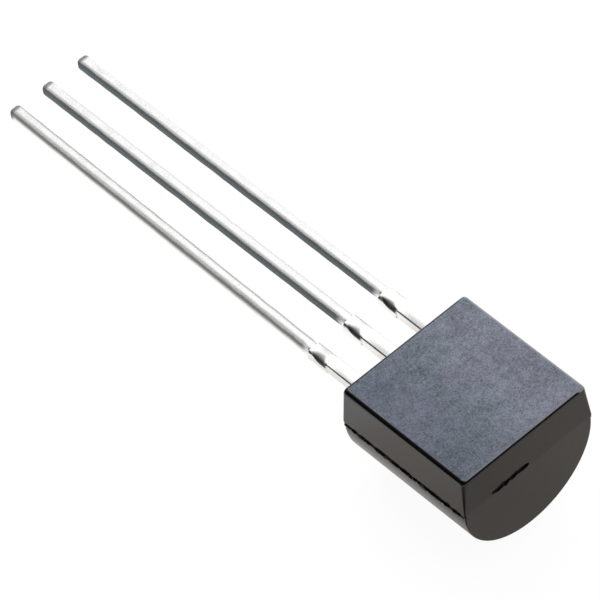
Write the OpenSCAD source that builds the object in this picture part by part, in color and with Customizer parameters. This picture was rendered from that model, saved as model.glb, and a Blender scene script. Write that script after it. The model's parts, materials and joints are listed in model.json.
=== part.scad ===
// Small signal transistor in a TO-92 outline: a moulded resin body with one flat face,
// three straight leads in a row, and the die, solder and bond wires sealed inside it.
//
// Every piece is drawn in the level frame of the body first: X runs across the row of leads,
// Y runs out of the body along the leads, Z comes out of the flat face, and the origin is on
// the lead end of the body, in the plane where the two mould halves part. The whole part is
// then laid down as it rests: on its three lead tips and the rounded back of its body.

/* [Moulded body] */
// Width of the body where the mould halves part
body_w = 4.49; // [4.4:0.01:4.8]
// Length of the body along the leads, where the mould halves part
body_len = 4.52; // [4.2:0.01:4.9]
// Width of the flat face
flat_w = 4.32; // [4:0.01:4.4]
// Height of the flat face above the parting plane
flat_height = 1.21; // [1.1:0.01:1.6]
// Depth of the rounded back below the parting plane
back_depth = 2.37; // [2.1:0.01:2.5]
// Radius of the rounded back
back_radius = 2.22; // [2.1:0.01:2.3]
// Draft of the lead end, in the front half of the mould, in degrees
lead_end_draft = 0.5; // [0:0.5:7]
// Draft of the closed end, in the front half of the mould, in degrees
closed_end_draft = 1.5; // [0:0.5:7]
// Draft of both ends, in the back half of the mould, in degrees
back_draft = 1.6; // [0:0.1:5]
// Height of the upright rim of the front half, at the parting plane
parting_land = 0.03; // [0.01:0.01:0.1]
// Radius of the edges round the flat face
flat_edge_round = 0.13; // [0.04:0.01:0.2]
// Radius of the body's corner edges and of the back's end edges
edge_round = 0.04; // [0.03:0.01:0.2]
// How far the flash at the parting plane stands out of the body's long sides
flash_out = 0.07; // [0.02:0.01:0.12]
// Thickness of that flash
flash_t = 0.03; // [0.02:0.01:0.06]

/* [Gate scar] */
// Width of the scar where the resin gate was broken off
gate_w = 1.29; // [1:0.01:1.8]
// Height of the scar's upper edge above the parting plane
gate_top = 0.17; // [0.05:0.01:0.3]
// Height of the scar at its thin end
gate_thin = 0.16; // [0.08:0.01:0.2]
// Height of the scar where it is thickest
gate_thick = 0.25; // [0.24:0.01:0.4]
// Height of the scar at its square end
gate_end = 0.21; // [0.1:0.01:0.24]
// Distance from the scar's thin end to where it is thickest
gate_peak = 0.4; // [0.2:0.01:0.6]
// Width of the step between the thickest place and the square end
gate_step = 0.12; // [0.05:0.01:0.3]
// How deep the scar is torn into the closed end
gate_depth = 0.07; // [0.03:0.01:0.15]
// Distance of the scar's middle from the middle of the body
gate_offset = -0.64; // [-0.8:0.01:0.8]

/* [Leads] */
// Distance from one lead to the next
lead_pitch = 1.27; // [1.2:0.01:1.35]
// Length of the leads outside the body
lead_len = 14.16; // [12:0.01:15]
// Width of a lead past its dam bar stubs, across the row
lead_w = 0.35; // [0.3:0.01:0.5]
// Width of a lead between the body and its stubs
shank_w = 0.42; // [0.3:0.01:0.56]
// Thickness of the sheet that the leads are stamped from
lead_t = 0.36; // [0.3:0.01:0.5]
// Radius of a lead's four long edges, past its stubs, where the tin lies thick on them
lead_round = 0.1; // [0.03:0.01:0.13]
// Radius of a lead's long edges between the body and its stubs
shank_round = 0.03; // [0.01:0.01:0.08]
// Radius of the edges round a lead's tip
tip_round = 0.08; // [0.02:0.01:0.13]
// Distance from the body to the middle of the cut dam bar stubs
stub_pos = 1.76; // [1.3:0.02:3]
// Length of the dam bar stubs along the lead
stub_len = 0.68; // [0.4:0.02:0.8]
// How far a dam bar stub stands out of the side of the shank
stub_out = 0.02; // [0.01:0.01:0.12]
// Radius of the upper edges of a stub, drawn down when the dam bar was punched out
stub_roll = 0.11; // [0.04:0.01:0.15]
// How far the collector lead leans towards the base lead, past its stubs, in degrees
collector_lean = 0.5; // [0:0.1:1.5]

/* [Lead frame inside the body] */
// Depth in the body at which the narrow leads widen
root_depth = 0.9; // [0.6:0.05:1.1]
// Width of the bonding posts of the emitter and base leads
post_w = 0.84; // [0.6:0.02:0.9]
// Length of the bonding posts along the leads
post_len = 0.7; // [0.5:0.05:0.8]
// Width of the collector lead's neck, between the narrow lead and the die pad
neck_w = 0.76; // [0.6:0.02:0.9]
// Depth of the two lock notches in the neck's sides
notch_depth = 0.14; // [0.05:0.01:0.18]
// Length of a lock notch along the neck
notch_len = 0.3; // [0.15:0.05:0.4]
// Gap between the bonding posts and the die pad
frame_gap = 0.34; // [0.2:0.02:0.4]
// Width of the die pad, across the row
pad_w = 2.96; // [2.6:0.02:3.2]
// Length of the die pad along the leads
pad_len = 1.8; // [1.2:0.05:1.9]

/* [Die and bond wires] */
// Length of the square die's side
die_side = 0.46; // [0.3:0.02:0.7]
// Thickness of the die
die_t = 0.2; // [0.1:0.01:0.28]
// Thickness of the solder under the die
solder_t = 0.03; // [0.01:0.01:0.05]
// Width of the solder that shows round the die
solder_margin = 0.06; // [0.02:0.01:0.12]
// Diameter of the bond wires
wire_d = 0.04; // [0.025:0.005:0.05]
// Diameter of the ball that joins a wire to the die
ball_d = 0.1; // [0.08:0.01:0.12]
// Height of that ball, pressed flat
ball_h = 0.03; // [0.02:0.005:0.05]
// Straight rise of a wire above its ball
wire_rise = 0.1; // [0.05:0.01:0.15]
// Radius of a wire's bend at the top of its loop
wire_bend = 0.14; // [0.08:0.01:0.18]

/* [Hidden] */

body_facets = 96;    // round the back
corner_facets = 24;  // round an edge's full circle
arc_steps = 5;       // along a lead's rounded edge
wire_facets = 32;    // round a wire
bend_facets = 64;    // round a full circle of a wire's bend
past = 1;            // how far a cutting solid reaches past what it cuts

// The front half's walls lean in from the parting plane to the flat face.
drafted_height = flat_height - parting_land;
side_draft = atan((body_w - flat_w) / 2 / drafted_height);
lead_end_lean = drafted_height * tan(lead_end_draft);
closed_end_lean = drafted_height * tan(closed_end_draft);

// The back's axis lies a little below the parting plane.
back_centre = back_radius - back_depth;

// The leads' back face lies in the parting plane, so the back half of the mould is plain.
frame_top = lead_t;
post_start = -root_depth;
post_end = post_start - post_len;
pad_start = post_end - frame_gap;
pad_left = -lead_pitch - neck_w / 2;

// The die sits level with the gap between the two posts, and the wires end on the posts.
die_share = 0.4;     // of the pad's length, from its post end to the middle of the die
die_x = lead_pitch / 2;
die_y = pad_start - pad_len * die_share;
die_bottom = frame_top + solder_t;
die_top = die_bottom + die_t;
bond_offset = die_side / 4;
post_bond_y = (post_start + post_end) / 2;

// At rest a straight floor touches the rounds under the lead tips and the round at the back's
// lead end. Seen from the side, tip_y and tip_round are the middle of a tip's lower round, and
// heel is the middle of the back's.
tip_y = lead_len - tip_round;
heel_y = -edge_round * cos(back_draft) - (back_depth - edge_round) * sin(back_draft);
heel_z = edge_round * sin(back_draft) - (back_depth - edge_round) * cos(back_draft);
heel_to_tip = [tip_y - heel_y, tip_round - heel_z];
rest_tilt = atan2(heel_to_tip.y, heel_to_tip.x)
          + asin((edge_round - tip_round) / norm(heel_to_tip));
rest_height = tip_round + tip_y * sin(rest_tilt) - tip_round * cos(rest_tilt);
tip_reach = tip_y * cos(rest_tilt) + (lead_t - tip_round) * sin(rest_tilt) + tip_round;
tail_reach = (-body_len - heel_y) * cos(rest_tilt) + heel_z * sin(rest_tilt) - edge_round;
rest_shift = -(tip_reach + tail_reach) / 2;

// Lays level pieces down as the part rests: the floor is at Z = 0 and the part's
// bounding box is centred over the origin.
module at_rest() {
    translate([0, rest_shift, rest_height]) rotate([-rest_tilt, 0, 0]) children();
}

// ---- moulded body ----

// How far a round of radius r stands in from a wall that leans in by draft degrees
function round_inset(r, draft) = r * (1 - sin(draft)) / cos(draft);

module ball(r) {
    rotate_extrude($fn = corner_facets) intersection() {
        circle(r, $fn = corner_facets);
        translate([0, -r]) square([r, 2 * r]);
    }
}

// The front half of the moulding: a block with drafted walls under the flat face
module front_half() {
    side = flat_w / 2 - round_inset(flat_edge_round, side_draft);
    lead_end = -lead_end_lean - round_inset(flat_edge_round, lead_end_draft);
    closed_end = closed_end_lean + round_inset(flat_edge_round, closed_end_draft) - body_len;
    hull() for (hand = [-1, 1]) {
        for (end = [lead_end, closed_end])
            translate([hand * side, end, flat_height - flat_edge_round]) ball(flat_edge_round);
        for (end = [-edge_round, edge_round - body_len])
            translate([hand * (body_w / 2 - edge_round), end, 0])
                cylinder(r = edge_round, h = parting_land, $fn = corner_facets);
    }
}

// One rounded end of the back: a ring whose outer side is the end face. The ring leans
// about the parting plane by the draft. facing is 1 at the lead end and -1 at the closed end.
module back_end(facing) {
    rotate([-facing * back_draft, 0, 0])
        translate([0, -facing * edge_round, back_centre])
            rotate([90, 0, 0])
                rotate_extrude($fn = body_facets)
                    translate([back_radius - edge_round, 0])
                        circle(edge_round, $fn = corner_facets);
}

// The back half of the moulding: a rounded back with drafted ends, below the parting plane
module back_half() {
    intersection() {
        hull() {
            back_end(1);
            translate([0, -body_len, 0]) back_end(-1);
        }
        translate([-body_w, -body_len - past, -back_depth - past])
            cube([2 * body_w, body_len + 2 * past, back_depth + past]);
    }
}

// The thin flash that seeped between the mould halves along the body's long sides. Its ends
// are round and stop where the body's corner edges begin.
module flash() {
    middle_w = body_w + 2 * flash_out;
    corner_y = edge_round + flash_out;
    translate([0, 0, -flash_t]) linear_extrude(flash_t) {
        translate([-body_w / 2, edge_round - body_len]) square([body_w, body_len - 2 * edge_round]);
        translate([-middle_w / 2, corner_y - body_len]) square([middle_w, body_len - 2 * corner_y]);
        for (hand = [-1, 1], y = [-corner_y, corner_y - body_len])
            translate([hand * body_w / 2, y]) circle(flash_out, $fn = corner_facets);
    }
}

// What is torn out of the closed end where the gate was: thin at one end, square at the
// other, with an even upper edge and its deepest bite in between
module gate_tear() {
    thin_side = -gate_w / 2;
    square_side = gate_w / 2;
    translate([gate_offset, gate_depth - body_len, gate_top])
        rotate([90, 0, 0])
            linear_extrude(gate_depth + past)
                polygon([[thin_side, 0], [thin_side, -gate_thin],
                         [thin_side + gate_peak, -gate_thick],
                         [thin_side + gate_peak + gate_step, -gate_end],
                         [square_side, -gate_end], [square_side, 0]]);
}

module moulded_body() {
    color("#3d3c3a") at_rest() difference() {
        union() {
            front_half();
            back_half();
            flash();
        }
        gate_tear();
        emitter_frame();
        base_frame();
        collector_frame();
        die_block();
        solder_layer();
        emitter_wire();
        base_wire();
    }
}

// ---- leads ----

// The section of a lead, seen along it: a rectangle on the parting plane with round corners,
// of radius upper away from that plane and of radius lower at it
module lead_section(width, upper, lower) {
    polygon([for (quarter = [0 : 3], step = [0 : arc_steps])
        let (angle = 90 * (quarter + step / arc_steps),
             r = quarter < 2 ? upper : lower,
             x = (quarter == 0 || quarter == 3 ? 1 : -1) * (width / 2 - r),
             z = quarter < 2 ? lead_t - r : r)
        [x + r * cos(angle), z + r * sin(angle)]]);
}

// A straight stretch of lead with such a section, from y = from to y = to
module lead_stretch(from, to, width, upper, lower) {
    translate([0, to, 0]) rotate([90, 0, 0])
        linear_extrude(to - from) lead_section(width, upper, lower);
}

// A flat strip along Y, whose far corners are round
module round_ended(width, length, r) {
    translate([-width / 2, 0]) square([width, length - r]);
    translate([r - width / 2, 0]) square([width - 2 * r, length]);
    for (hand = [-1, 1])
        translate([hand * (width / 2 - r), length - r]) circle(r, $fn = corner_facets);
}

// The stretch of a lead from its stubs to its tip, which is round seen from above and from
// the side
module tipped_stretch(length) {
    intersection() {
        lead_stretch(0, length, lead_w, lead_round, lead_round);
        linear_extrude(lead_t) round_ended(lead_w, length, tip_round);
        translate([-lead_w / 2, 0, lead_t / 2]) rotate([0, 90, 0])
            linear_extrude(lead_w) round_ended(lead_t, length, tip_round);
    }
}

// A lead from its root in the body to its tip: the wider shank, the stubs that the cut dam
// bar left, and the tinned stretch, which leans to +X by lean degrees
module lead(lean = 0) {
    stub_start = stub_pos - stub_len / 2;
    lead_stretch(-root_depth, stub_start, shank_w, shank_round, shank_round);
    lead_stretch(stub_start, stub_start + stub_len, shank_w + 2 * stub_out,
                 stub_roll, shank_round);
    translate([0, stub_pos, 0]) rotate([0, 0, -lean]) tipped_stretch(lead_len - stub_pos);
}

// A flat piece of the lead frame, centred on x, from y = from down to y = to
module frame_plate(x, width, from, to) {
    translate([x - width / 2, to, 0]) cube([width, from - to, lead_t]);
}

module posted_lead(x) {
    translate([x, 0, 0]) lead();
    frame_plate(x, post_w, post_start, post_end);
}

module emitter_frame() { posted_lead(lead_pitch); }
module base_frame() { posted_lead(0); }

// The collector lead widens into a notched neck that carries the die pad
module collector_frame() {
    neck_middle = (post_start + pad_start) / 2;
    translate([-lead_pitch, 0, 0]) lead(collector_lean);
    difference() {
        frame_plate(-lead_pitch, neck_w, post_start, pad_start);
        for (hand = [-1, 1])
            frame_plate(-lead_pitch + hand * neck_w / 2, 2 * notch_depth,
                        neck_middle + notch_len / 2, neck_middle - notch_len / 2);
    }
    frame_plate(pad_left + pad_w / 2, pad_w, pad_start, pad_start - pad_len);
}

module emitter_lead() { color("silver") at_rest() emitter_frame(); }
module base_lead() { color("silver") at_rest() base_frame(); }
module collector_lead() { color("silver") at_rest() collector_frame(); }

// ---- die and bond wires ----

module die_block() {
    translate([die_x - die_side / 2, die_y - die_side / 2, die_bottom])
        cube([die_side, die_side, die_t]);
}

module solder_layer() {
    side = die_side + 2 * solder_margin;
    translate([die_x - side / 2, die_y - side / 2, frame_top]) cube([side, side, solder_t]);
}

module silicon_die() { color("#56606e") at_rest() die_block(); }
module die_solder() { color("#9aa0a6") at_rest() solder_layer(); }

// A wire from a ball on the die, up, over a bend and straight down to a point on a post.
// start and end are the two bonds, seen from above.
module bond_wire(start, end) {
    span = norm(end - start);
    rise = ball_h + wire_rise;
    drop = die_top + rise - frame_top;
    run = span - wire_bend;
    // the slope at which the last stretch leaves the bend and meets the post
    slope = atan2(drop, run) + asin(wire_bend / norm([run, drop]));
    bend_end = [wire_bend * (1 + sin(slope)), rise + wire_bend * cos(slope)];
    last = norm([span - bend_end.x, drop - rise + bend_end.y]);
    overlong = wire_d;
    difference() {
        translate([start.x, start.y, die_top])
            rotate([0, 0, atan2(end.y - start.y, end.x - start.x)]) {
                cylinder(d = ball_d, h = ball_h, $fn = wire_facets);
                cylinder(d = wire_d, h = rise, $fn = wire_facets);
                translate([wire_bend, 0, rise])
                    rotate([90, 0, 0])
                        rotate([0, 0, 90 - slope])
                            rotate_extrude(angle = 90 + slope, $fn = bend_facets)
                                translate([wire_bend, 0]) circle(d = wire_d, $fn = wire_facets);
                translate([bend_end.x, 0, bend_end.y])
                    rotate([0, 90 + slope, 0])
                        cylinder(d = wire_d, h = last + overlong, $fn = wire_facets);
            }
        // the wire is pressed onto the post, so nothing of it reaches below the post's face
        translate([end.x - past, end.y - past, frame_top - past])
            cube([2 * past, 2 * past, past]);
    }
}

module emitter_wire() {
    bond_wire([die_x + bond_offset, die_y + bond_offset], [lead_pitch, post_bond_y]);
}

module base_wire() {
    bond_wire([die_x - bond_offset, die_y + bond_offset], [0, post_bond_y]);
}

module emitter_bond_wire() { color("gold") at_rest() emitter_wire(); }
module base_bond_wire() { color("gold") at_rest() base_wire(); }

moulded_body();
emitter_lead();
base_lead();
collector_lead();
silicon_die();
die_solder();
emitter_bond_wire();
base_bond_wire();
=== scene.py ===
"""A small signal transistor: a moulded resin body with three tinned leads, lying flat face up."""

import json
import math

import bmesh
import bpy
from mathutils import Matrix, Quaternion, Vector


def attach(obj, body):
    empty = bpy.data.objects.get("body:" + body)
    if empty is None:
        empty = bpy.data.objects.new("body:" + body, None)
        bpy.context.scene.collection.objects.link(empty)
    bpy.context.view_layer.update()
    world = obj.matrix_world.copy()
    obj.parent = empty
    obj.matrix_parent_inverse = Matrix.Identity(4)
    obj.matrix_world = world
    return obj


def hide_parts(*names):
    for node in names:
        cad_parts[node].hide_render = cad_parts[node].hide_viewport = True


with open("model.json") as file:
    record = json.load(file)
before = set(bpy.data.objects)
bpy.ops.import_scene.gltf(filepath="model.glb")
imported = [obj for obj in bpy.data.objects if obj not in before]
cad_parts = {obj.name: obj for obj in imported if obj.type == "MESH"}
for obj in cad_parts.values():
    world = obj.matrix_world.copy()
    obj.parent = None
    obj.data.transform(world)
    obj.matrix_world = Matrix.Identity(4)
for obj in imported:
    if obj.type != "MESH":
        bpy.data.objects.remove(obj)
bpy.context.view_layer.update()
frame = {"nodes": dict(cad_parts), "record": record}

MM = 0.001    # every size of the part is in millimetres, and a finished piece is in metres
NEAR = 0.001  # how near a corner, an edge or a face lies to the place that it is picked by
CUT_THRESHOLD = 1e-5

# ---- sizes of the part, in its level frame: X across the row of leads, Y along the leads,
# ---- Z out of the flat face, from the lead end of the body in the parting plane
BODY_W, BODY_LEN = 4.49, 4.52
FLAT_W, FLAT_HEIGHT = 4.32, 1.21
BACK_DEPTH, BACK_RADIUS, BACK_STEPS, BACK_SPARE = 2.37, 2.22, 192, 1
LEAD_END_DRAFT, CLOSED_END_DRAFT, BACK_DRAFT = 0.5, 1.5, 1.6
PARTING_LAND = 0.03
EDGE_ROUND, FLAT_EDGE_ROUND, EDGE_STEPS = 0.04, 0.13, 8
OVERLAP, HAIR = 0.02, 0.005  # how far joined pieces run into each other, and stand back
BODY_SMOOTH, LEAD_SMOOTH = 40, 50  # the least angle, in degrees, that stays a sharp edge

FLASH_OUT, FLASH_T, FLASH_DROP = 0.045, 0.03, 0.095
FLASH_ROOT = 0.15                        # how deep its strip is set in the body
FLASH_STEPS, FLASH_PLAIN_END = 34, 0.1
FLASH_WANDER, FLASH_TEETH = 0.03, 0.012  # how far its edge strays, and the finer teeth on it
# towards each end the flash shrinks, one step after the other: (how near, the share it keeps)
FLASH_TAPER = ((0.02, 0.3), (0.15, 0.55), (0.3, 0.8))

GATE_LEFT, GATE_RIGHT = -1.285, 0.005
GATE_BOTTOM, GATE_TOP = -0.05, 0.172
GATE_DEPTH, GATE_SPARE, GATE_TEAR = 0.07, 0.1, 0.012
GATE_GRID, GATE_OFF_GRID = (27, 3, 3), 0.37
# (how far from the scar's left end, how much higher its upper edge lies, and its lower edge)
GATE_EDGES = ((0.0, -0.066, 0.056), (0.1, -0.056, 0.026), (0.2, -0.036, -0.004),
              (0.3, 0.004, -0.004), (0.4, 0.014, 0.016), (0.5, -0.041, -0.024),
              (0.6, -0.031, 0.051), (0.7, -0.006, 0.011), (0.8, 0.014, 0.021),
              (0.9, -0.001, 0.066), (1.0, 0.009, 0.041), (1.1, 0.004, 0.026),
              (1.2, -0.011, 0.046), (1.29, -0.052, 0.096))

LEAD_LEN, LEAD_W, LEAD_T = 14.16, 0.35, 0.36
LEAD_ROUND, LEAD_STEPS = 0.12, 6
FOOT_ROUND = 0.8 * LEAD_ROUND
SHANK_W, SHANK_ROUND = 0.42, 0.05
TIP_ROUND, TIP_STEPS, TIP_NEAR = 0.08, 5, 0.02
STUB_POS, STUB_LEN, STUB_OUT, STUB_ROLL = 1.76, 0.68, 0.02, 0.11
STUB_START, STUB_RUNOUT = 0.015, 0.03     # the length of its step on the body's side, and beyond
EMITTER_UNEVEN, BASE_UNEVEN = 0.06, 0.03  # how much wider its left side is, up past the stub
COLLECTOR_LEAN = 0.5
ROOT_DEPTH, POST_W, POST_LEN = 0.9, 0.84, 0.7
NECK_W, NOTCH_DEPTH, NOTCH_LEN = 0.76, 0.14, 0.3
FRAME_GAP, PAD_W, PAD_LEN = 0.34, 2.96, 1.8
TIN_LUMP, TIN_LUMP_SIZE = 0.02, 0.45
TIN_LEVEL = 0.1                   # the value of its noise at which the tin adds nothing
TIN_CLEAR, THIN_TIN = 0.1, 0.25   # how far from the body it begins, and its share up to the stub
TIN_START, TIN_GROWS = 0.05, 0.3  # past the stub, the gap and the length in which it grows to all
TIN_RING_GAP, TIN_RINGS_STOP = 0.16, 0.1

# ---- where the part lies: its record says where the base lead's tip is and how it leans
mounts = {mount["name"]: mount for mount in frame["record"]["mounts"]}
ALONG = Vector(mounts["base_pin"]["axis"])
NORMAL = Vector(mounts["flat_front"]["axis"])
TILT = math.atan2(NORMAL.y, NORMAL.z)
ORIGIN = (Vector(mounts["base_pin"]["pos_m"]) - ALONG * LEAD_LEN * MM - NORMAL * LEAD_T / 2 * MM)
LEVEL_TO_REST = Matrix.Translation(ORIGIN) @ Matrix.Rotation(-TILT, 4, "X") @ Matrix.Scale(MM, 4)
PITCH = mounts["emitter_pin"]["pos_m"][0] / MM


# ---- modelling by hand: blanks, cuts, picks ----

def clear_selection():
    if bpy.context.mode != "OBJECT":
        bpy.ops.object.mode_set(mode="OBJECT")
    bpy.ops.object.select_all(action="DESELECT")


def select_only(piece):
    clear_selection()
    piece.select_set(True)
    bpy.context.view_layer.objects.active = piece


def open_piece(piece):
    select_only(piece)
    bpy.ops.object.mode_set(mode="EDIT")


def close_piece():
    bpy.ops.object.mode_set(mode="OBJECT")


def block(name, low, high):
    """A blank between two corners, with its place in its mesh"""
    clear_selection()
    low, high = Vector(low), Vector(high)
    bpy.ops.mesh.primitive_cube_add(size=1, location=(low + high) / 2, scale=high - low)
    bpy.ops.object.transform_apply(location=True, rotation=True, scale=True)
    piece = bpy.context.object
    piece.name = piece.data.name = name
    return piece


def cut(point, normal, drop=False, fill=False):
    """Cuts the open piece along a plane, and drops what lies on the normal's side if asked"""
    bpy.ops.mesh.select_all(action="SELECT")
    bpy.ops.mesh.bisect(plane_co=point, plane_no=normal, use_fill=fill, clear_outer=drop,
                        threshold=CUT_THRESHOLD)


def pick(piece, kind, test):
    """Selects the open piece's corners, edges or faces for which the test holds"""
    bpy.ops.mesh.select_mode(type=kind)
    bpy.ops.mesh.select_all(action="DESELECT")
    mesh = bmesh.from_edit_mesh(piece.data)
    for item in {"VERT": mesh.verts, "EDGE": mesh.edges, "FACE": mesh.faces}[kind]:
        if test(item):
            item.select_set(True)
    mesh.select_flush_mode()
    bmesh.update_edit_mesh(piece.data)


def middle(item):
    """The middle of an edge or a face"""
    corners = [corner.co for corner in item.verts]
    return sum(corners, Vector()) / len(corners)


def direction(edge):
    return (edge.verts[1].co - edge.verts[0].co).normalized()


def bevel(width, segments):
    bpy.ops.mesh.bevel(offset=width, offset_type="OFFSET", segments=segments, profile=0.5,
                       affect="EDGES", clamp_overlap=True)


def stray(offset, seed):
    """Moves the picked corners a little, each its own way"""
    bpy.ops.transform.vertex_random(offset=offset, uniform=0, normal=0, seed=seed)


def combine(piece, tool, operation):
    """Joins a tool piece to a piece, or takes it out, and removes the tool"""
    select_only(piece)
    step = piece.modifiers.new("combine", "BOOLEAN")
    step.operation, step.object, step.solver = operation, tool, "EXACT"
    bpy.ops.object.modifier_apply(modifier=step.name)
    bpy.data.objects.remove(tool)


def copy_of(piece, name):
    twin = bpy.data.objects.new(name, piece.data.copy())
    bpy.context.collection.objects.link(twin)
    return twin


def smooth(piece, angle):
    """Shades rounds smoothly and keeps flat faces flat"""
    select_only(piece)
    bpy.ops.object.shade_smooth_by_angle(angle=math.radians(angle))
    step = piece.modifiers.new("weighted", "WEIGHTED_NORMAL")
    step.keep_sharp = True
    bpy.ops.object.modifier_apply(modifier=step.name)


def finish_piece(piece, node, finish):
    """Lays a finished piece down as the part rests and lets it stand for its CAD node"""
    piece.data.transform(LEVEL_TO_REST)
    piece.data.materials.clear()
    piece.data.materials.append(finish)
    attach(piece, "root")
    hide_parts(node)


# ---- resin body ----

def front_half():
    """The half under the flat face: drafted walls, round edges, and corners that are sharp
    where the mould halves met"""
    drafted = FLAT_HEIGHT - PARTING_LAND
    lead_lean = drafted * math.tan(math.radians(LEAD_END_DRAFT))
    closed_lean = drafted * math.tan(math.radians(CLOSED_END_DRAFT))
    flat_len = BODY_LEN - lead_lean - closed_lean
    half = block("front_half", (-BODY_W / 2, -BODY_LEN, 0), (BODY_W / 2, 0, FLAT_HEIGHT))
    open_piece(half)
    cut((0, 0, PARTING_LAND), (0, 0, 1))
    pick(half, "FACE", lambda face: face.normal.z > 0.9)
    centre = (0, -BODY_LEN / 2, FLAT_HEIGHT)
    bpy.ops.transform.resize(value=(FLAT_W / BODY_W, flat_len / BODY_LEN, 1), center_override=centre)
    bpy.ops.transform.translate(value=(0, (closed_lean - lead_lean) / 2, 0))
    pick(half, "EDGE", lambda edge: abs(direction(edge).z) > 0.5
         or min(corner.co.z for corner in edge.verts) > FLAT_HEIGHT - NEAR)
    bevel(FLAT_EDGE_ROUND, EDGE_STEPS)
    sharper = EDGE_ROUND / FLAT_EDGE_ROUND
    reach = 2 * FLAT_EDGE_ROUND
    for x in (-BODY_W / 2, BODY_W / 2):
        for y in (-BODY_LEN, 0):
            pick(half, "VERT", lambda corner: corner.co.z < PARTING_LAND + NEAR
                 and abs(corner.co.x - x) < reach and abs(corner.co.y - y) < reach)
            bpy.ops.transform.resize(value=(sharper, sharper, 1), center_override=(x, y, 0))
    close_piece()
    return half


def flash(side):
    """The ragged flash along one long side, where resin crept between the mould halves"""
    inner, wall = BODY_W / 2 - FLASH_ROOT, BODY_W / 2 - HAIR
    left, right = sorted((side * inner, side * wall))
    strip = block("flash", (left, EDGE_ROUND - BODY_LEN, -FLASH_DROP - FLASH_T),
                  (right, -EDGE_ROUND, OVERLAP))
    open_piece(strip)
    cut((0, 0, -FLASH_DROP), (0, 0, 1))
    pick(strip, "FACE", lambda face: face.normal.x * side > 0.9 and middle(face).z < -FLASH_DROP)
    bpy.ops.mesh.extrude_region_move(TRANSFORM_OT_translate={"value": (side * FLASH_OUT, 0, 0)})
    for step in range(1, FLASH_STEPS):
        cut((0, -BODY_LEN * step / FLASH_STEPS, 0), (0, 1, 0))

    def ragged(corner, clear):
        """Whether a corner is on the edge of the flash and not at one of its plain ends"""
        return (abs(corner.co.x) > wall + clear
                and FLASH_PLAIN_END - BODY_LEN < corner.co.y < -FLASH_PLAIN_END)

    pick(strip, "VERT", lambda corner: ragged(corner, NEAR))
    stray(FLASH_WANDER, 9 + side)
    pick(strip, "EDGE", lambda edge: abs(direction(edge).y) > 0.6)
    bpy.ops.mesh.subdivide(number_cuts=2, smoothness=1)
    pick(strip, "VERT", lambda corner: ragged(corner, HAIR))
    stray(FLASH_TEETH, 3 + side)
    for reach, share in FLASH_TAPER:
        pick(strip, "VERT", lambda corner: abs(corner.co.x) > BODY_W / 2
             and abs(corner.co.y + BODY_LEN / 2) > BODY_LEN / 2 - EDGE_ROUND - reach)
        bpy.ops.transform.resize(value=(share, 1, 1), center_override=(side * BODY_W / 2, 0, 0))
    close_piece()
    return strip


def back_half():
    """The rounded half below the parting plane, with drafted ends and round end edges"""
    clear_selection()
    bpy.ops.mesh.primitive_cylinder_add(
        vertices=BACK_STEPS, radius=BACK_RADIUS, depth=BODY_LEN + BACK_SPARE, end_fill_type="NGON",
        location=(0, -BODY_LEN / 2, BACK_RADIUS - BACK_DEPTH), rotation=(math.pi / 2, 0, 0))
    bpy.ops.object.transform_apply(location=True, rotation=True, scale=True)
    half = bpy.context.object
    half.name = "back_half"
    lean = math.tan(math.radians(BACK_DRAFT))
    open_piece(half)
    cut((0, 0, OVERLAP), (0, 0, 1), drop=True, fill=True)
    cut((0, -HAIR, 0), (0, 1, -lean), drop=True, fill=True)
    cut((0, HAIR - BODY_LEN, 0), (0, -1, -lean), drop=True, fill=True)
    pick(half, "EDGE", lambda edge: len(edge.link_faces) == 2
         and max(abs(face.normal.y) for face in edge.link_faces) > 0.9
         and min(abs(face.normal.y) for face in edge.link_faces) < 0.1
         and max(face.normal.z for face in edge.link_faces) < 0.9)
    bevel(EDGE_ROUND, EDGE_STEPS)
    close_piece()
    return half


def gate_scar():
    """What tore out of the closed end with the gate: a ragged slot that narrows at one end"""
    outside_y, floor_y = -BODY_LEN - GATE_SPARE, GATE_DEPTH - BODY_LEN
    scar = block("gate_scar", (GATE_LEFT, outside_y, GATE_BOTTOM), (GATE_RIGHT, floor_y, GATE_TOP))
    open_piece(scar)
    for edges in GATE_EDGES[1:-1]:
        cut((GATE_LEFT + edges[0], 0, 0), (1, 0, 0))
    for reach, upper, lower in GATE_EDGES:
        for edge_z, move in ((GATE_TOP, upper), (GATE_BOTTOM, lower)):
            pick(scar, "VERT", lambda corner: abs(corner.co.x - GATE_LEFT - reach) < NEAR
                 and abs(corner.co.z - edge_z) < NEAR)
            bpy.ops.transform.translate(value=(0, 0, move))
    # a grid of cuts, clear of the cuts above, gives the slot corners that can be torn
    lows, highs = (GATE_LEFT, outside_y, GATE_BOTTOM), (GATE_RIGHT, floor_y, GATE_TOP)
    for axis, (count, low, high) in enumerate(zip(GATE_GRID, lows, highs)):
        for step in range(1, count):
            point, normal = Vector(), Vector()
            point[axis], normal[axis] = low + (high - low) * (step + GATE_OFF_GRID) / count, 1
            cut(point, normal)
    bpy.ops.mesh.select_all(action="SELECT")
    stray(GATE_TEAR, 5)
    close_piece()
    return scar


def resin_body(leads, finish):
    """The whole moulding, with its flash and gate scar, closed round the three leads"""
    body = front_half()
    combine(body, back_half(), "UNION")
    for side in (-1, 1):
        combine(body, flash(side), "UNION")
    combine(body, gate_scar(), "DIFFERENCE")
    for lead in leads:
        combine(body, copy_of(lead, "core"), "DIFFERENCE")
    body.name = body.data.name = "resin_body"
    smooth(body, BODY_SMOOTH)
    finish_piece(body, "moulded_body", finish)


# ---- leads ----

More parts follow.
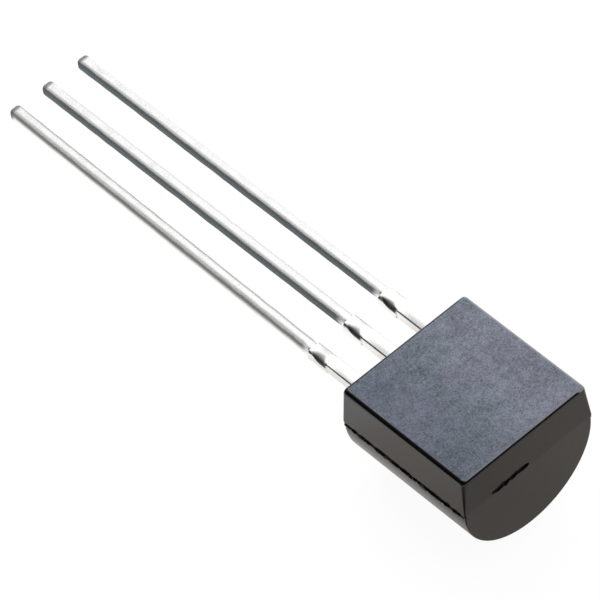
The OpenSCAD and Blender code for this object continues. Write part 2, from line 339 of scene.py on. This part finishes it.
def stamped_lead(name, x, inner_end, levels, widenings, lean=0, uneven=0):
    """A lead blank from its inner end to its tip. Its inner sides are drawn out for the post or
    the neck, its edges are rounded, and the shank and the stubs are then pushed out and given
    their sharper edges. Each widening is (side, reach so far, more, spans)."""
    half = LEAD_W / 2
    stub_low, stub_high = STUB_POS - STUB_LEN / 2, STUB_POS + STUB_LEN / 2
    bar = block(name, (x - half, inner_end, 0), (x + half, LEAD_LEN, LEAD_T))
    open_piece(bar)
    for level in sorted(levels):
        cut((0, level, 0), (0, 1, 0))
    for side, reach, more, spans in widenings:
        pick(bar, "FACE", lambda face: face.normal.x * side > 0.9
             and abs((middle(face).x - x) * side - half - reach) < NEAR
             and any(low < middle(face).y < high for low, high in spans))
        bpy.ops.mesh.extrude_region_move(TRANSFORM_OT_translate={"value": (side * more, 0, 0)})
    pick(bar, "EDGE", lambda edge: abs(direction(edge).y) > 0.99 and middle(edge).y > -ROOT_DEPTH
         and abs(abs(middle(edge).x - x) - half) < NEAR)
    bevel(LEAD_ROUND, LEAD_STEPS)
    for level in (stub_low - STUB_START, stub_low, STUB_POS, stub_high, stub_high + STUB_RUNOUT):
        cut((0, level, 0), (0, 1, 0))
    shank_out = (SHANK_W - LEAD_W) / 2
    shank_end, stub_end = stub_low - STUB_START / 2, stub_high + STUB_RUNOUT / 2
    stretches = ((-ROOT_DEPTH, shank_end, shank_out, SHANK_ROUND),
                 (shank_end, stub_end, shank_out + STUB_OUT, STUB_ROLL))
    for low, high, out, upper in stretches:
        for side in (-1, 1):
            for edge_z, radius in ((0, FOOT_ROUND), (LEAD_T, upper)):
                pick(bar, "VERT", lambda corner: low < corner.co.y < high
                     and half - LEAD_ROUND - NEAR < (corner.co.x - x) * side < half + NEAR
                     and abs(corner.co.z - edge_z) < LEAD_ROUND + NEAR)
                grow = radius / LEAD_ROUND
                bpy.ops.transform.resize(value=(grow, 1, grow),
                                         center_override=(x + side * half, 0, edge_z))
                bpy.ops.transform.translate(value=(side * out - uneven * (side < 0), 0, 0))
    if lean:
        pick(bar, "VERT", lambda corner: corner.co.y > STUB_POS)
        bpy.ops.transform.rotate(value=math.radians(lean), orient_axis="Z",
                                 center_override=(x, STUB_POS, 0))
    close_piece()
    return bar


def tin(bar):
    """Rounds the cut tip and lays the tin a little unevenly on the outside of a lead"""
    open_piece(bar)
    reach = max(corner.co.y for corner in bar.data.vertices)
    pick(bar, "FACE", lambda face: face.normal.y > 0.9 and middle(face).y > reach - TIP_NEAR)
    bpy.ops.mesh.region_to_loop()
    bevel(TIP_ROUND, TIP_STEPS)
    first = STUB_POS + STUB_LEN / 2 + TIN_START
    for step in range(int((LEAD_LEN - TIP_ROUND - first - TIN_RINGS_STOP) / TIN_RING_GAP) + 1):
        cut((0, first + step * TIN_RING_GAP, 0), (0, 1, 0))
    close_piece()
    # none in the resin, thin tin up to the stubs, and thick tin beyond
    outside = bar.vertex_groups.new(name="outside")
    for corner in bar.data.vertices:
        thin = THIN_TIN * (corner.co.y > TIN_CLEAR)
        thick = min(1, max(0, (corner.co.y - first) / TIN_GROWS))
        outside.add([corner.index], thin + (1 - THIN_TIN) * thick, "REPLACE")
    lumps = bpy.data.textures.new("tin_lumps", "CLOUDS")
    lumps.noise_scale, lumps.noise_depth = TIN_LUMP_SIZE, 1
    select_only(bar)
    step = bar.modifiers.new("tin", "DISPLACE")
    step.texture, step.texture_coords, step.vertex_group = lumps, "LOCAL", "outside"
    step.strength, step.mid_level = TIN_LUMP, TIN_LEVEL
    bpy.ops.object.modifier_apply(modifier=step.name)
    bpy.data.textures.remove(lumps)
    bar.vertex_groups.clear()
    smooth(bar, LEAD_SMOOTH)


def lead_blanks():
    """The three leads with the posts, the neck and the die pad of the lead frame"""
    post_start, post_end = -ROOT_DEPTH, -ROOT_DEPTH - POST_LEN
    pad_start = post_end - FRAME_GAP
    pad_end = pad_start - PAD_LEN
    post_out = (POST_W - LEAD_W) / 2
    neck_out = (NECK_W - LEAD_W) / 2
    notch_out = neck_out - NOTCH_DEPTH
    neck_middle = (post_start + pad_start) / 2
    notch = (neck_middle - NOTCH_LEN / 2, neck_middle + NOTCH_LEN / 2)
    pad_right = -PITCH - NECK_W / 2 + PAD_W
    pad_out = pad_right - (-PITCH + LEAD_W / 2)

    blanks = {}
    for name, x, uneven in (("emitter_lead", PITCH, EMITTER_UNEVEN),
                            ("base_lead", 0.0, BASE_UNEVEN)):
        post = [(post_end, post_start)]
        blanks[name] = stamped_lead(name + "_tinned", x, post_end, [post_start],
                                    [(-1, 0, post_out, post), (1, 0, post_out, post)],
                                    uneven=uneven)
    all_of_it = [(pad_end, post_start)]
    wide = [(pad_end, notch[0]), (notch[1], post_start)]
    blanks["collector_lead"] = stamped_lead(
        "collector_lead_tinned", -PITCH, pad_end, [post_start, pad_start, *notch],
        [(side, 0, notch_out, all_of_it) for side in (-1, 1)]
        + [(side, notch_out, neck_out - notch_out, wide) for side in (-1, 1)]
        + [(1, neck_out, pad_out - neck_out, [(pad_end, pad_start)])],
        lean=COLLECTOR_LEAN)
    return blanks


# ---- finishes: shader maths ----

class Out:
    """A node's output, on which Python's arithmetic adds Math nodes"""

    def __init__(self, nodes, socket):
        self.nodes, self.socket = nodes, socket

    def math(self, operation, *values):
        return self.nodes.node("ShaderNodeMath", {"operation": operation}, dict(enumerate(values)))

    def __add__(self, other):
        return self.math("ADD", self, other)

    def __sub__(self, other):
        return self.math("SUBTRACT", self, other)

    def __rsub__(self, other):
        return self.math("SUBTRACT", other, self)

    def __mul__(self, other):
        return self.math("MULTIPLY", self, other)

    def __truediv__(self, other):
        return self.math("DIVIDE", self, other)

    def __abs__(self):
        return self.math("ABSOLUTE", self)

    def at_least(self, other):
        return self.math("MAXIMUM", self, other)

    __radd__, __rmul__ = __add__, __mul__


class Nodes:
    """The nodes of a material or of the world"""

    def __init__(self, tree):
        self.tree = tree

    def node(self, kind, settings=None, inputs=None, output=0):
        """Adds a node: its settings first, then the values or links of its sockets"""
        node = self.tree.nodes.new(kind)
        for key, value in (settings or {}).items():
            setattr(node, key, value)
        for key, value in (inputs or {}).items():
            if isinstance(value, Out):
                self.tree.links.new(value.socket, node.inputs[key])
            else:
                node.inputs[key].default_value = value
        return Out(self, node.outputs[output])

    def parts(self, vector):
        """The X, Y and Z of a vector"""
        split = self.node("ShaderNodeSeparateXYZ", {}, {"Vector": vector}).socket.node
        return [Out(self, output) for output in split.outputs]

    def noise(self, place, scale, detail=2.0, roughness=0.5, stretch=None):
        if stretch:
            place = self.node("ShaderNodeMapping", {}, {"Vector": place, "Scale": stretch})
        return self.node("ShaderNodeTexNoise", {}, {"Vector": place, "Scale": scale,
                                                    "Detail": detail, "Roughness": roughness})

    def ramp(self, value, low, high, start=0.0, end=1.0):
        """Goes smoothly from start to end while the value goes from low to high"""
        return self.node("ShaderNodeMapRange", {"interpolation_type": "SMOOTHSTEP"}, {
            "Value": value, "From Min": low, "From Max": high, "To Min": start, "To Max": end})

    def mix(self, factor, first, second):
        """Mixes two colours"""
        first, second = [colour if isinstance(colour, Out) else (*colour, 1)
                         for colour in (first, second)]
        return self.node("ShaderNodeMix", {"data_type": "RGBA"}, {0: factor, 6: first, 7: second},
                         output=2)


class Look(Nodes):
    """A material, its shader and the nodes that feed it"""

    def __init__(self, name, **constants):
        self.material = bpy.data.materials.new(name)
        self.material.use_nodes = True
        super().__init__(self.material.node_tree)
        self.shader = self.tree.nodes["Principled BSDF"]
        for socket, value in constants.items():
            self.shader.inputs[socket.replace("_", " ")].default_value = value

    def set(self, socket, value):
        """Links a value to one of the shader's sockets"""
        self.tree.links.new(value.socket, self.shader.inputs[socket])

    def level(self):
        """Where a point is in the level frame, in millimetres"""
        turn = Matrix.Rotation(TILT, 3, "X")
        place = self.node("ShaderNodeTexCoord", output="Object")
        return self.node("ShaderNodeMapping", {}, {
            "Vector": place, "Location": turn @ (-ORIGIN / MM), "Rotation": (TILT, 0, 0),
            "Scale": (1 / MM,) * 3})

    def bump(self, height):
        """Raises the surface by a height in millimetres"""
        self.set("Normal", self.node("ShaderNodeBump", {}, {"Height": height, "Distance": MM}))


# ---- finishes: the resin ----
# A name that ends in RANGE is what a ramp goes over, in the level frame's millimetres unless its
# comment says otherwise. One that ends in NOISE is a scale per millimetre, a detail and a roughness.

# how far down the rounds at the closed end and on the right the matt finish of the flat goes on,
# with its painted sheen
MATT_PAST_END, MATT_PAST_RIGHT = 0.028, 0.045
INTO_ROUND_RANGE, FROM_LEFT_RANGE = (0.30, 0.18), (-2.1, -1.95)
MATT_RANGE = (FLAT_HEIGHT - 0.007, FLAT_HEIGHT - 0.001)
GRAIN_NOISE, COARSE_NOISE = (24.0, 2.0, 0.6), (11.0, 2.0, 0.6)
BLOTCH_NOISE, CLOUD_NOISE = (0.9, 3.0, 0.55), (3.2, 3.0, 0.6)
HUE_NOISE, HUE_RANGE = (0.6, 2.0, 0.5), (0.4, 0.6)         # the range is of the noise's value
SPECK_NOISE, SPECK_RANGE = (14.0, 2.0, 0.5), (0.66, 0.74)  # and so is this one
WALL_FINE_NOISE, WALL_LUMP_NOISE = (30.0, 2.0, 0.6), (5.0, 2.0, 0.5)
PALER_RANGE = (-2.1, 1.2)
# the flat face's bluish grey with a painted sheen, on the collector side and on the other
LEFT_GREY_AND_SHEEN, RIGHT_GREY_AND_SHEEN = (0.132, 0.150, 0.192), (0.200, 0.220, 0.268)
COOL_TINT, WARM_TINT = (0.97, 1.015, 1.0), (1.025, 0.985, 1.015)
SPECK_COLOUR, SPECK_SHARE = (0.03, 0.034, 0.045), 0.6
# a pale painted highlight on the rounds along the right edge and at the closed end
PAINTED_EDGE_HIGHLIGHT, HIGHLIGHT_WANDER, END_HIGHLIGHT_SHARE = (0.42, 0.43, 0.43), 0.12, 0.45
RIGHT_HIGHLIGHT_RANGE, END_HIGHLIGHT_RANGE = (0.11, 0.02), (0.16, 0.05)
WALL_DARK, WALL_PALE = (0.0030, 0.0028, 0.0024), (0.0050, 0.0047, 0.0040)
SCAR_FLOOR_RANGE = (0.012 - BODY_LEN, 0.03 - BODY_LEN)
SCAR_BACK_RANGE = (0.15 - BODY_LEN, 0.12 - BODY_LEN)
SCAR_ACROSS_RANGE, SCAR_HIGH_RANGE = (0.72, 0.68), (0.18, 0.15)  # from the scar's middle
MATT_ROUGHNESS, WALL_ROUGHNESS = 0.62, 0.22


def resin_look():
    """Black filled epoxy: matt and greyish with a painted sheen on the flat face, semi-gloss on the
    walls
    """
    look = Look("filled_resin", IOR=1.5)
    place = look.level()
    across, along, height = look.parts(place)
    from_closed_end = along + BODY_LEN
    from_right = FLAT_W / 2 - across
    reach = (MATT_PAST_END * look.ramp(from_closed_end, *INTO_ROUND_RANGE)
             * look.ramp(across, *FROM_LEFT_RANGE)
             + MATT_PAST_RIGHT * look.ramp(from_right, *INTO_ROUND_RANGE))
    flat = look.ramp(height + reach, *MATT_RANGE)

    grain, coarse, blotch, cloud = [look.noise(place, *noise) - 0.5 for noise in (
        GRAIN_NOISE, COARSE_NOISE, BLOTCH_NOISE, CLOUD_NOISE)]

    # the flat face: bluish grey with a painted sheen that is paler away from the collector side,
    # with specks and smudges
    sheen = look.mix(look.ramp(across, *PALER_RANGE), LEFT_GREY_AND_SHEEN, RIGHT_GREY_AND_SHEEN)
    shade = 1.0 + 0.9 * blotch + 0.9 * cloud + 2.0 * grain + 1.2 * coarse
    tint = look.mix(look.ramp(look.noise(place, *HUE_NOISE), *HUE_RANGE), COOL_TINT, WARM_TINT)
    sheen = look.node("ShaderNodeVectorMath", {"operation": "MULTIPLY"}, {0: sheen, 1: tint})
    sheen = look.node("ShaderNodeVectorMath", {"operation": "SCALE"},
                      {"Vector": sheen, "Scale": shade})
    speck = look.ramp(look.noise(place, *SPECK_NOISE), *SPECK_RANGE)
    sheen = look.mix(speck * SPECK_SHARE, sheen, SPECK_COLOUR)
    # painted highlights on the rounds along the right edge and at the closed end
    right_highlight = look.ramp(from_right + coarse * HIGHLIGHT_WANDER, *RIGHT_HIGHLIGHT_RANGE)
    end_highlight = look.ramp(from_closed_end + coarse * HIGHLIGHT_WANDER, *END_HIGHLIGHT_RANGE)
    sheen = look.mix(right_highlight.at_least(END_HIGHLIGHT_SHARE * end_highlight), sheen, PAINTED_EDGE_HIGHLIGHT)

    # the walls and the back: near black, a little warm
    wall = look.mix(cloud + 0.5, WALL_DARK, WALL_PALE)
    look.set("Base Color", look.mix(flat, wall, sheen))

    torn = (look.ramp(along, *SCAR_FLOOR_RANGE)
            * look.ramp(abs(across - (GATE_LEFT + GATE_RIGHT) / 2), *SCAR_ACROSS_RANGE)
            * look.ramp(abs(height - (GATE_TOP + GATE_BOTTOM) / 2), *SCAR_HIGH_RANGE)
            * look.ramp(along, *SCAR_BACK_RANGE))
    rough = WALL_ROUGHNESS + 0.10 * cloud + 0.5 * torn
    look.set("Roughness", rough + flat * (MATT_ROUGHNESS - rough))

    fine = look.noise(place, *WALL_FINE_NOISE)
    lumps = look.noise(place, *WALL_LUMP_NOISE)
    look.bump(flat * (grain * 0.007 + coarse * 0.005) + (1 - flat) * (fine * 0.0009 + lumps * 0.003))
    return look.material


# ---- finishes: the tin ----

WOBBLE_NOISE, WOBBLE_STRETCH = (5.0, 3.0, 0.6), (1, 0.35, 1)
STREAK_NOISE, STREAK_STRETCH = (9.0, 3.0, 0.6), (1, 0.12, 1)
SKIN_NOISE, SKIN_HEIGHT = (12.0, 3.0, 0.55), 0.005
THICK_TIN_RANGE = (STUB_POS + 0.42, STUB_POS + 0.7)
TO_SIDE_RANGE = (LEAD_W / 2 - 0.11, LEAD_W / 2 - 0.05)    # out from the middle line
TO_EDGE_RANGE = (LEAD_W / 2 - 0.15, LEAD_W / 2 - 0.09)
TO_STAMPED_RANGE = (SHANK_W / 2 - 0.03, SHANK_W / 2 - 0.01)
FAR_HALF_RANGE, FAR_EDGE_RANGE = (0.0, 0.05), (0.06, 0.11)  # to the right of the middle line
MIDDLE_RANGE = (-0.02, 0.02)
BELOW_FACE_RANGE, FAR_DEEPER = (LEAD_T - 0.003, LEAD_T - 0.04), 0.07
FOOT_RANGE = (0.10, 0.30)
SOFT_ALONG_RANGE = (STUB_POS + 0.33, STUB_POS + 0.43)
SOFT_HIGH_RANGE = (LEAD_T - 0.13, LEAD_T - 0.07)
# where a painted dark reflection lies along the shank's face near the body, and how strong
DARK_LINE_ALONG_RANGE, DARK_LINE_OUT_RANGE, DARK_LINE_SHARE = (1.5, 0.85), (0.0, 0.17), 0.45
DARK_LINE_HIGH_RANGE = (LEAD_T - 0.06, LEAD_T - 0.02)
# where the painted shade on the rounded end of each tip lies, its share, and the length over which
# the tip's crown falls
TIP_RANGE, TIP_SHARE, TIP_LEN = (LEAD_LEN - 0.20, LEAD_LEN - 0.10), 0.8, 0.2
# the die roll at a stub, which gets painted shade: its ranges along the stub go from 0 at the
# body's side to 1 at the far one
ROLL_OPENS_RANGE, ROLL_CLOSES_RANGE = (0.0, 0.4), (1.2, 0.4)
ROLL_STARTS_RANGE, ROLL_ENDS_RANGE = (-0.04, 0.08), (1.08, 0.85)
ROLL_LEAST, ROLL_FAR_SHARE = 0.025, 0.25
ROLL_IN_RANGE = (1.0, 0.1)                                  # as a share of the roll's width
ROLL_FOOT, ROLL_FOOT_RISE, ROLL_RISE_RANGE = 0.57 * LEAD_T, 0.13, (0.35, 1.0)
BRIGHT_TIN, BRIGHTEST_TIN = (0.95, 0.95, 0.945), (0.99, 0.99, 0.985)
STAMPED_COLOUR, TIP_SHADE_COLOUR = (0.91, 0.905, 0.89), (0.16, 0.185, 0.185)
# the colours of the painted shade on the rolled edge, the darker one low down
ROLL_SHADE_DARK, ROLL_SHADE_PALE = (0.035, 0.034, 0.032), (0.17, 0.168, 0.163)
# the colours of the painted shade on the stamped sides
COOL_SIDE_SHADE, PLAIN_SIDE_SHADE = (0.15, 0.175, 0.18), (0.20, 0.20, 0.196)


class TinLook(Look):
    """The tin of one lead. A point is so far off to the right of the lead's middle line, and so
    far out to either side. Crowned is 1 where the tin is thick, falls away to both sides and has
    no painted shade at its foot, and 0 where it falls away to the left only, its right edge is
    less metallic and the painted shade reaches its foot."""

    def __init__(self, name, x, lean, crowned):
        super().__init__(name, Metallic=1.0)
        self.crowned = crowned
        self.place = self.level()
        across, self.along, self.height = self.parts(self.place)
        slope = math.tan(math.radians(lean))
        self.off = across - x - (self.along - STUB_POS).at_least(0) * slope
        self.out = abs(self.off)
        self.wobble = self.noise(self.place, *WOBBLE_NOISE, stretch=WOBBLE_STRETCH) - 0.5
        self.tinned = self.ramp(self.along + self.wobble * 0.4, *THICK_TIN_RANGE)

    def painted_side_shade(self, share):
        """Painted shade on the stamped sides. It begins on the round along the sheet's face, and
        thick tin has none at its foot."""
        side = self.ramp(self.out + self.wobble * 0.14, *TO_SIDE_RANGE)
        far = self.ramp(self.off, *FAR_HALF_RANGE) * (1 - self.crowned)
        below_face = self.ramp(self.height + FAR_DEEPER * far, *BELOW_FACE_RANGE)
        above_foot = self.ramp(self.height, *FOOT_RANGE, 1 - self.crowned, 1.0)
        return side * self.tinned * share * below_face * above_foot

    def soft(self):
        """The rounds along the sheet's face past the stub, wider on the right edge of a lead that is
        not crowned
        """
        edge = self.ramp(self.out, *TO_EDGE_RANGE)
        far_edge = self.ramp(self.off, *FAR_EDGE_RANGE) * (1 - self.crowned)
        return (edge.at_least(far_edge)
                * self.ramp(self.along + self.wobble * 0.2, *SOFT_ALONG_RANGE)
                * self.ramp(self.height, *SOFT_HIGH_RANGE))

    def die_roll(self, spread):
        """Where the dam bar's shear rolled the stub's edge over and painted shade goes, widest near
        the body, and how high its foot lies"""
        from_body = (self.along - STUB_POS + STUB_LEN / 2) / STUB_LEN + self.wobble * 0.2
        lens = self.ramp(from_body, *ROLL_OPENS_RANGE) * self.ramp(from_body, *ROLL_CLOSES_RANGE)
        wide = ROLL_LEAST + spread * lens
        foot = ROLL_FOOT + ROLL_FOOT_RISE * self.ramp(from_body, *ROLL_RISE_RANGE)
        inward = SHANK_W / 2 + STUB_OUT - self.out + self.wobble * 0.05
        roll = (self.ramp(inward / wide, *ROLL_IN_RANGE)
                * self.ramp(from_body, *ROLL_STARTS_RANGE) * self.ramp(from_body, *ROLL_ENDS_RANGE)
                * self.ramp(self.height, foot, foot + 0.05)
                * self.ramp(self.off, *MIDDLE_RANGE, 1.0, ROLL_FAR_SHARE))
        return roll, foot

    def painted_dark_line(self):
        """A faint painted dark reflection on the face of the shank near the body, left of the middle
        line
        """
        return (self.ramp(self.along + self.wobble * 0.3, *DARK_LINE_ALONG_RANGE)
                * self.ramp(self.out + self.wobble * 0.15, *DARK_LINE_OUT_RANGE)
                * self.ramp(self.off, *MIDDLE_RANGE, DARK_LINE_SHARE, 0.0)
                * self.ramp(self.height, *DARK_LINE_HIGH_RANGE))

    def crown(self):
        """How far the thick tin falls away beside the middle line, and towards the tip"""
        beside = (0.0 - self.off).at_least(0) + self.crowned * self.off.at_least(0)
        to_tip = (self.along - LEAD_LEN + TIP_LEN).at_least(0)
        return (0.8 + 0.9 * self.crowned) * beside * beside * self.tinned, 1.2 * to_tip * to_tip


def tin_look(name, x, lean, side_shade_share, tint, crowned, spread):
    """Bright tin, a little crowned between its edges, with painted shade on the stamped sides and
    on the edge that the dam bar's shear rolled over"""
    look = TinLook(name, x, lean, crowned)
    # painted shade on the stamped sides
    painted_side_shade = look.painted_side_shade(side_shade_share)
    roll, foot = look.die_roll(spread)
    streak = look.noise(look.place, *STREAK_NOISE, stretch=STREAK_STRETCH)
    bright = look.mix(streak, BRIGHT_TIN, BRIGHTEST_TIN)
    shaded_tin = look.mix(streak, *[tuple(share * part for part in tint) for share in (0.7, 1.3)])
    stamped = look.ramp(look.out, *TO_STAMPED_RANGE) * (1 - look.tinned)
    # painted shade on the rolled edge and the shank's painted dark line, darker low down
    black = look.mix(look.ramp(look.height, foot + 0.10, foot + 0.20), ROLL_SHADE_DARK, ROLL_SHADE_PALE)
    # painted shade on the rounded end of the tip
    tip = look.ramp(look.along + look.wobble * 0.1, *TIP_RANGE)
    colour = look.mix(painted_side_shade, bright, shaded_tin)
    colour = look.mix(stamped, colour, STAMPED_COLOUR)
    colour = look.mix(look.painted_dark_line().at_least(roll), colour, black)
    look.set("Base Color", look.mix(tip * TIP_SHARE, colour, TIP_SHADE_COLOUR))
    look.set("Metallic", 1.0 - 0.75 * look.soft().at_least(tip).at_least(roll))
    look.set("Roughness", 0.20 + 0.12 * streak + 0.08 * look.tinned + 0.25 * painted_side_shade + 0.2 * roll
             + 0.2 * tip)
    crown, nose = look.crown()
    look.bump(look.noise(look.place, *SKIN_NOISE) * SKIN_HEIGHT - crown - nose)
    return look.material


# ---- finishes: the pieces sealed in the resin ----

def silicon_look():
    """Dark polished silicon with a faint grid of metal tracks on it"""
    look = Look("etched_silicon", Roughness=0.18)
    place = look.level()
    cells = look.node("ShaderNodeTexVoronoi", {"distance": "CHEBYCHEV"},
                      {"Vector": place, "Scale": 18.0, "Randomness": 0.25}, output="Distance")
    tracks = look.ramp(cells, 0.36, 0.42)
    stain = look.noise(place, 6.0)
    base = look.mix(stain, (0.06, 0.07, 0.10), (0.12, 0.13, 0.16))
    look.set("Base Color", look.mix(tracks, base, (0.6, 0.6, 0.58)))
    look.set("Metallic", 0.3 + 0.6 * tracks)
    look.bump(tracks * 0.001)
    return look.material


def grained_metal(name, scale, detail, colours, smoothest, rougher, height):
    """Metal with a grain that changes its colour, its roughness and its height"""
    look = Look(name, Metallic=1.0)
    grain = look.noise(look.level(), scale, detail, 0.6)
    look.set("Base Color", look.mix(grain, *colours))
    look.set("Roughness", smoothest + rougher * grain)
    look.bump(grain * height)
    return look.material


def solder_look():
    """Dull solder with a grainy skin"""
    return grained_metal("dull_solder", scale=40.0, detail=3.0,
                         colours=((0.38, 0.39, 0.41), (0.62, 0.63, 0.64)),
                         smoothest=0.4, rougher=0.25, height=0.003)


def gold_look():
    """Drawn gold wire with fine marks on it"""
    return grained_metal("drawn_gold", scale=60.0, detail=2.0,
                         colours=((0.80, 0.52, 0.16), (0.95, 0.68, 0.27)),
                         smoothest=0.18, rougher=0.18, height=0.0006)


def dress(node, finish):
    """Gives a CAD node that stays as it is its finish"""
    solid = frame["nodes"][node]
    solid.data.materials.clear()
    solid.data.materials.append(finish)


# ---- the studio ----

CAMERA_ELEVATION, CAMERA_HEADING, CAMERA_ROLL = 57.3654, 44.4798, 1.8265
CAMERA_AIM, CAMERA_DISTANCE = (-0.2048, -0.8391, 1.5247), 145.9959
SENSOR_WIDTH, LENS_LENGTH = 36.0, 336.011
NEAREST_SEEN, FARTHEST_SEEN = 0.01, 10.0  # metres
SHEET_SIZE, SHEET_DROP = 4000, 0.015
SHEET_GLOW, CAMERA_GLOW_SHARE = 1.1, 0.84
WORLD_FILL = 0.5


def add_camera():
    """Looks down from behind the closed end, on the collector's side, through a long lens"""
    elevation, heading = math.radians(CAMERA_ELEVATION), math.radians(CAMERA_HEADING)
    forward = Vector((math.sin(heading) * math.cos(elevation),
                      math.cos(heading) * math.cos(elevation), -math.sin(elevation)))
    lens = bpy.data.cameras.new("camera")
    lens.sensor_width, lens.lens = SENSOR_WIDTH, LENS_LENGTH
    lens.clip_start, lens.clip_end = NEAREST_SEEN, FARTHEST_SEEN
    camera = bpy.data.objects.new("camera", lens)
    bpy.context.collection.objects.link(camera)
    camera.location = Vector(CAMERA_AIM) * MM - forward * (CAMERA_DISTANCE * MM)
    camera.rotation_mode = "QUATERNION"
    camera.rotation_quaternion = (forward.to_track_quat("-Z", "Y")
                                  @ Quaternion((0, 0, 1), math.radians(CAMERA_ROLL)))
    bpy.context.scene.camera = camera


def add_lamp(name, towards, distance, size, radiance):
    """A square soft box that faces the part, with its distance and size in metres. Radiance 1 is
    the white of a lit page."""
    lamp = bpy.data.lights.new(name, "AREA")
    lamp.shape, lamp.size = "SQUARE", size
    lamp.energy = radiance * math.pi * size * size
    holder = bpy.data.objects.new(name, lamp)
    bpy.context.collection.objects.link(holder)
    towards = Vector(towards).normalized()
    holder.location = towards * distance
    holder.rotation_mode = "QUATERNION"
    holder.rotation_quaternion = (-towards).to_track_quat("-Z", "Y")
    holder.visible_glossy = False


def sheet_gloss(look):
    """How bright the sheet is in gloss, dimmer where the body stands in its light, and where the
    stretch beside the body lies. Lengths are millimetres from below the middle of the part."""
    place = look.node("ShaderNodeTexCoord", output="Object")
    x, y = look.parts(place)[:2]

    def fade(value, low, high, start=0.0, end=1.0):
        return look.ramp(value, low * MM, high * MM, start, end)

    def away_from(centre):
        return look.node("ShaderNodeVectorMath", {"operation": "DISTANCE"},
                         {0: place, 1: Vector((*centre, 0)) * MM}, output="Value")

    behind = away_from((0.8, -11.6))
    lit = fade(behind, 5.0, 8.6, 0.56, 0.83) + 0.23 * fade(behind, 8.6, 9.6)
    lit = lit + 0.35 * fade(x, -4.8, -8.0) + 0.10 * fade(x, 0.5, 3.5)
    beside = fade(abs(x + 2.6 * MM), 0.9, 0.3)
    lit = lit + beside * (fade(y, -9.5, -6.0, 0.66, 0.86) - lit)
    lit = lit * fade(away_from((-5.2, -12.2)), 2.1, 3.4, 0.05, 1.0)
    lit = lit * fade(x, -20.0, -12.0, 0.05, 1.0)
    return lit, beside


def add_floor():
    """A white sheet that shows white to the camera and keeps the part's shadow. In gloss it shows a
    painted pattern of light and shadow, warm where it is dim
    """
    clear_selection()
    # a hair low, so that no drop of tin on the lead tips runs into it
    bpy.ops.mesh.primitive_plane_add(size=SHEET_SIZE * MM, location=(0, 0, -SHEET_DROP * MM))
    floor = bpy.context.object
    floor.name = "floor"
    look = Look("white_sheet", Roughness=0.9, Base_Color=(0.9, 0.9, 0.9, 1), Specular_IOR_Level=0.1)
    camera_ray = look.node("ShaderNodeLightPath", output="Is Camera Ray")
    glossy_ray = look.node("ShaderNodeLightPath", output="Is Glossy Ray")
    clear_ray = look.node("ShaderNodeLightPath", output="Is Transmission Ray")
    seen = glossy_ray.at_least(clear_ray)
    lit, beside = sheet_gloss(look)
    # in gloss the painted shadow on the sheet turns warm, less so beside the body
    warm = seen * look.ramp(lit, 1.0, 0.8) * (1 - 0.6 * beside)
    tone = look.mix(warm, (1, 1, 1), (1, 0.925, 0.85))
    glow = look.node("ShaderNodeEmission", {}, {
        "Color": tone, "Strength": SHEET_GLOW + seen * (lit - SHEET_GLOW)})
    share = CAMERA_GLOW_SHARE * camera_ray + seen
    shown = look.node("ShaderNodeMixShader", {}, {
        0: share, 1: Out(look, look.shader.outputs[0]), 2: glow})
    look.tree.links.new(shown.socket, look.tree.nodes["Material Output"].inputs["Surface"])
    floor.data.materials.append(look.material)


def add_world():
    """White overhead and to the camera, with a dark ring of room low down in reflections"""
    world = bpy.data.worlds.new("studio")
    bpy.context.scene.world = world
    world.use_nodes = True
    sky = Nodes(world.node_tree)
    x, y, up = sky.parts(sky.node("ShaderNodeTexCoord", output="Generated"))
    bright_side = sky.ramp(x + 0.5 * y, -0.25, 0.6)
    overhead = sky.ramp(up + 1.2 * (x - 0.45).at_least(0), 0.42, 0.66) * bright_side * 1.3 + 0.01
    glossy_ray = sky.node("ShaderNodeLightPath", output="Is Glossy Ray")
    camera_ray = sky.node("ShaderNodeLightPath", output="Is Camera Ray")
    strength = WORLD_FILL + glossy_ray * (overhead - WORLD_FILL) + camera_ray * (1 - WORLD_FILL)
    background = world.node_tree.nodes["Background"]
    background.inputs["Color"].default_value = (1, 1, 1, 1)
    world.node_tree.links.new(strength.socket, background.inputs["Strength"])


# ---- putting it together ----

blanks = lead_blanks()
resin_body(blanks.values(), resin_look())

# each lead's share and colour of painted shade on its stamped sides
lead_looks = {
    "emitter_lead": tin_look("tinned_emitter", PITCH, lean=0, side_shade_share=1.0, tint=COOL_SIDE_SHADE,
                             crowned=0, spread=0.14),
    "base_lead": tin_look("tinned_base", 0, lean=0, side_shade_share=1.0, tint=COOL_SIDE_SHADE,
                          crowned=0, spread=0.22),
    "collector_lead": tin_look("tinned_collector", -PITCH, lean=COLLECTOR_LEAN, side_shade_share=0.9,
                               tint=PLAIN_SIDE_SHADE, crowned=1, spread=0.32),
}
for node, blank in blanks.items():
    tin(blank)
    finish_piece(blank, node, lead_looks[node])

dress("silicon_die", silicon_look())
dress("die_solder", solder_look())
for node in ("emitter_bond_wire", "base_bond_wire"):
    dress(node, gold_look())

add_floor()
add_world()
add_lamp("key_soft_box", towards=(0.3765, 0.6256, 0.6837), distance=0.14, size=0.15, radiance=1.6)
add_camera()
bpy.context.scene.view_settings.view_transform = "Standard"
